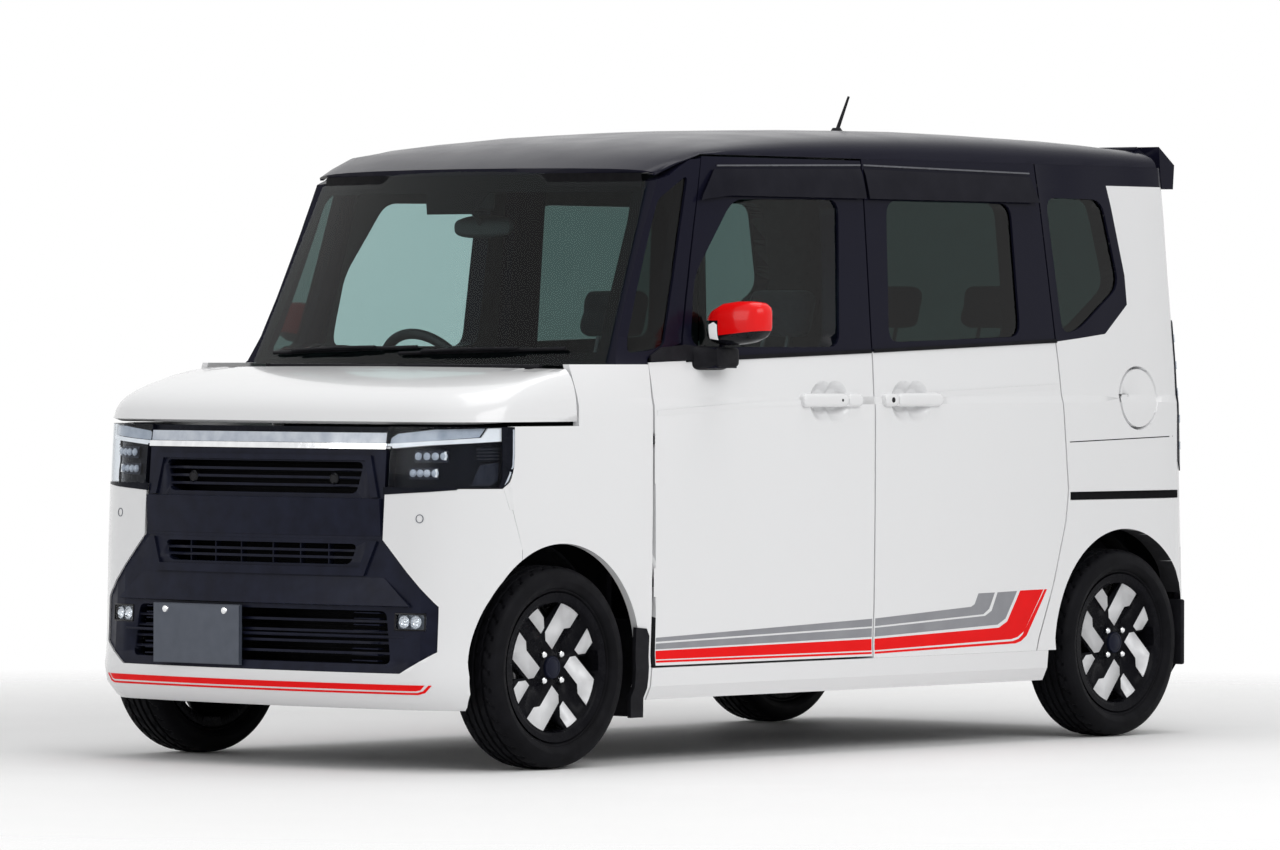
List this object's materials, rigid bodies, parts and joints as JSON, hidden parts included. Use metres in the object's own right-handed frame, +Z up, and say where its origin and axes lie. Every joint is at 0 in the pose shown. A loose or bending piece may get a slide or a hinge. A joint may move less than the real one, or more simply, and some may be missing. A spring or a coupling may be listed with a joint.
{
  "type": "kei car",
  "caption": "Tall-box kei car with hinged front doors, sliding rear doors, lifting tailgate and bonnet, folding mirrors, steered front wheels and a furnished cabin.",
  "frame": {"origin": "on the ground under the middle of the car", "axes": "+X forward, +Y to the car's left, +Z up"},
  "size_m": [3.3952, 1.855, 1.9006],
  "materials": {
    "white_paint": "pearl gloss",
    "black_paint": "gloss",
    "clear_glass": "clear",
    "dark_glass": "tinted",
    "red_lens": "gloss",
    "red_paint": "gloss",
    "black_plastic": "matt",
    "seat_cloth": "woven",
    "cast_metal": "matt",
    "steel": "satin",
    "alloy": "gloss black and machined",
    "tyre": "matt"
  },
  "bodies": {
    "body": {"floor_pan": "black_plastic", "sills": "white_paint", "bulkhead": "black_plastic", "pillars": "black_paint", "roof": "black_paint", "windscreen": "clear_glass", "side_glass": "dark_glass", "fenders": "white_paint", "front_bumper": "white_paint", "upper_grille": "black_paint", "lower_grille": "black_paint", "front_lamps": "clear_glass", "number_plate": "black_plastic", "quarter_panels": "white_paint", "tail_lamps": "red_lens", "rear_bumper": "white_paint", "sliding_doors": "white_paint", "wheel_liners": "black_plastic", "mud_flaps": "black_plastic", "dashboard": "black_plastic", "front_seats": "seat_cloth", "rear_seat": "seat_cloth", "engine": "cast_metal", "exhaust": "steel", "fuel_tank": "black_plastic", "front_subframe": "cast_metal", "rear_axle": "cast_metal", "wipers": "black_plastic", "antenna": "black_paint"},
    "door_left": {"front_door_left": "white_paint", "door_glass_left": "clear_glass"},
    "door_right": {"front_door_right": "white_paint", "door_glass_right": "clear_glass"},
    "mirror_left_arm": {"mirror_left": "red_paint"},
    "mirror_right_arm": {"mirror_right": "red_paint"},
    "rear_door": {"tailgate": "white_paint", "tailgate_glass": "dark_glass", "spoiler": "black_paint"},
    "hood": {"bonnet": "white_paint"},
    "filler_lid": {"fuel_lid": "white_paint"},
    "steer_knuckle_left": {"knuckle_left": "cast_metal"},
    "steer_knuckle_right": {"knuckle_right": "cast_metal"},
    "steering": {"steering_wheel": "black_plastic"},
    "wheel_fl": {"wheel_front_left": "alloy", "tyre_front_left": "tyre"},
    "wheel_fr": {"wheel_front_right": "alloy", "tyre_front_right": "tyre"},
    "wheel_rl": {"wheel_rear_left": "alloy", "tyre_rear_left": "tyre"},
    "wheel_rr": {"wheel_rear_right": "alloy", "tyre_rear_right": "tyre"}
  },
  "joints": [
    {"name": "steer_left", "type": "hinge", "parent": "body", "child": "steer_knuckle_left", "pos_m": [1.2275, 0.585, 0.278], "axis": [0, -0.2334, 0.9724], "range_deg": [-35, 35]},
    {"name": "steer_right", "type": "hinge", "parent": "body", "child": "steer_knuckle_right", "pos_m": [1.2275, -0.585, 0.278], "axis": [0, 0.2334, 0.9724], "range_deg": [-35, 35]},
    {"name": "steering_wheel_turn", "type": "hinge", "parent": "body", "child": "steering", "pos_m": [0.5875, -0.34, 1.04], "axis": [-0.8829, 0, 0.4695], "range_deg": [-500, 500]},
    {"name": "wheel_fl_spin", "type": "hinge", "parent": "steer_knuckle_left", "child": "wheel_fl", "pos_m": [1.2275, 0.645, 0.278], "axis": [0, 1, 0], "continuous": true},
    {"name": "wheel_fr_spin", "type": "hinge", "parent": "steer_knuckle_right", "child": "wheel_fr", "pos_m": [1.2275, -0.645, 0.278], "axis": [0, 1, 0], "continuous": true},
    {"name": "wheel_rl_spin", "type": "hinge", "parent": "body", "child": "wheel_rl", "pos_m": [-1.2925, 0.645, 0.278], "axis": [0, 1, 0], "continuous": true},
    {"name": "wheel_rr_spin", "type": "hinge", "parent": "body", "child": "wheel_rr", "pos_m": [-1.2925, -0.645, 0.278], "axis": [0, 1, 0], "continuous": true},
    {"name": "door_left_hinge", "type": "hinge", "parent": "body", "child": "door_left", "pos_m": [0.83649, 0.7225, 0.7], "axis": [0, 0, -1], "range_deg": [0, 75]},
    {"name": "door_right_hinge", "type": "hinge", "parent": "body", "child": "door_right", "pos_m": [0.83649, -0.7225, 0.7], "axis": [0, 0, 1], "range_deg": [0, 75]},
    {"name": "tailgate_hinge", "type": "hinge", "parent": "body", "child": "rear_door", "pos_m": [-1.5345, 0, 1.74426], "axis": [0, 1, 0], "range_deg": [0, 82]},
    {"name": "bonnet_hinge", "type": "hinge", "parent": "body", "child": "hood", "pos_m": [1.1795, 0, 1.082], "axis": [0, -1, 0], "range_deg": [0, 50]},
    {"name": "mirror_left_fold", "type": "hinge", "parent": "door_left", "child": "mirror_left_arm", "pos_m": [0.60149, 0.7675, 1.156], "axis": [0, 0, 1], "range_deg": [0, 60]},
    {"name": "mirror_right_fold", "type": "hinge", "parent": "door_right", "child": "mirror_right_arm", "pos_m": [0.60149, -0.7675, 1.156], "axis": [0, 0, -1], "range_deg": [0, 60]},
    {"name": "fuel_lid_hinge", "type": "hinge", "parent": "body", "child": "filler_lid", "pos_m": [-1.30834, 0.72239, 1.00301], "axis": [0, 0, -1], "range_deg": [0, 75]}
  ],
  "couplings": [
    {"joint": "steer_right", "follows": "steer_left", "ratio": 1},
    {"joint": "steering_wheel_turn", "follows": "steer_left", "ratio": 14}
  ]
}
